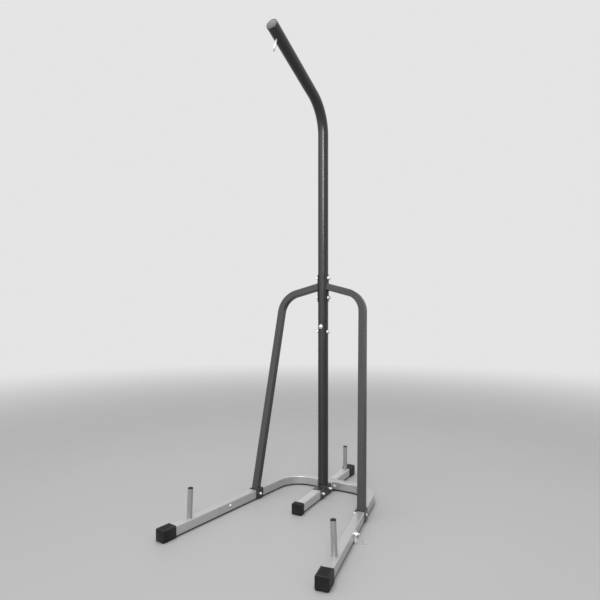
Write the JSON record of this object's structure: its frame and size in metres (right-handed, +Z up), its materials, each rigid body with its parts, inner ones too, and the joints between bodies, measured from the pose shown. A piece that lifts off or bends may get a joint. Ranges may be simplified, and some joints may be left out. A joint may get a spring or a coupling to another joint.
{
  "type": "heavy bag stand",
  "caption": "Free-standing heavy bag stand: a square-tube base open to the front, a tall mast bent over into a boom with an eye bolt, side supports, plate pegs and floor brackets.",
  "frame": {"origin": "on the floor, in the middle of the stand's footprint", "axes": "+Z up, -Y to the front, where the base is open and the bag hangs, +X to the stand's right seen from the front"},
  "size_m": [0.7538, 1.1214, 2.1018],
  "materials": {
    "silver_paint": "satin",
    "black_paint": "satin",
    "rubber": "matt",
    "grey_plastic": "matt",
    "zinc": "bright zinc plate"
  },
  "bodies": {
    "stand": {"base_frame": "silver_paint", "nose_tube": "silver_paint", "nose_flange": "silver_paint", "flange_left_bolt": "zinc", "flange_left_nut": "zinc", "flange_right_bolt": "zinc", "flange_right_nut": "zinc", "tail_tube": "silver_paint", "cap_leg_left": "rubber", "cap_leg_right": "rubber", "cap_nose": "rubber", "cap_tail": "rubber", "peg_left": "silver_paint", "peg_left_plug": "rubber", "peg_right": "silver_paint", "peg_right_plug": "rubber", "peg_tail": "silver_paint", "peg_tail_plug": "rubber", "saddle_left": "black_paint", "saddle_left_bolt": "zinc", "saddle_left_nut": "zinc", "saddle_right": "black_paint", "saddle_right_bolt": "zinc", "saddle_right_nut": "zinc", "saddle_mast": "black_paint", "saddle_mast_front_bolt": "zinc", "saddle_mast_front_nut": "zinc", "saddle_mast_rear_bolt": "zinc", "saddle_mast_rear_nut": "zinc", "mast_lower": "black_paint", "mast_sleeve": "zinc", "mast_front_washer": "zinc", "mast_front_bolt": "zinc", "mast_front_nut": "zinc", "mast_side_washer": "zinc", "mast_side_bolt": "zinc", "mast_side_nut": "zinc", "mast_upper": "black_paint", "boom_plug": "grey_plastic", "support_left": "black_paint", "clamp_plate_left": "black_paint", "support_right": "black_paint", "clamp_plate_right": "black_paint", "clamp_lower_washer": "zinc", "clamp_lower_bolt": "zinc", "clamp_lower_nut": "zinc", "clamp_upper_washer": "zinc", "clamp_upper_bolt": "zinc", "clamp_upper_nut": "zinc", "anchor_left_bolt": "zinc", "anchor_left_nut": "zinc", "anchor_right_bolt": "zinc", "anchor_right_nut": "zinc"},
    "eye": {"eye_bolt": "zinc", "eye_washer": "zinc", "eye_nut": "zinc"},
    "anchor_left": {"anchor_bracket_left": "zinc"},
    "anchor_right": {"anchor_bracket_right": "zinc"}
  },
  "joints": [
    {"name": "eye_swivel", "type": "hinge", "parent": "stand", "child": "eye", "pos_m": [0, -0.24398, 2.06129], "axis": [0, -0.3354, -0.9421], "continuous": true},
    {"name": "anchor_left_pivot", "type": "hinge", "parent": "stand", "child": "anchor_left", "pos_m": [-0.30025, -0.18826, 0.03], "axis": [0.9903, -0.1392, 0], "range_deg": [0, 180]},
    {"name": "anchor_right_pivot", "type": "hinge", "parent": "stand", "child": "anchor_right", "pos_m": [0.30025, -0.18826, 0.03], "axis": [0.9903, 0.1392, 0], "range_deg": [0, 180]}
  ]
}
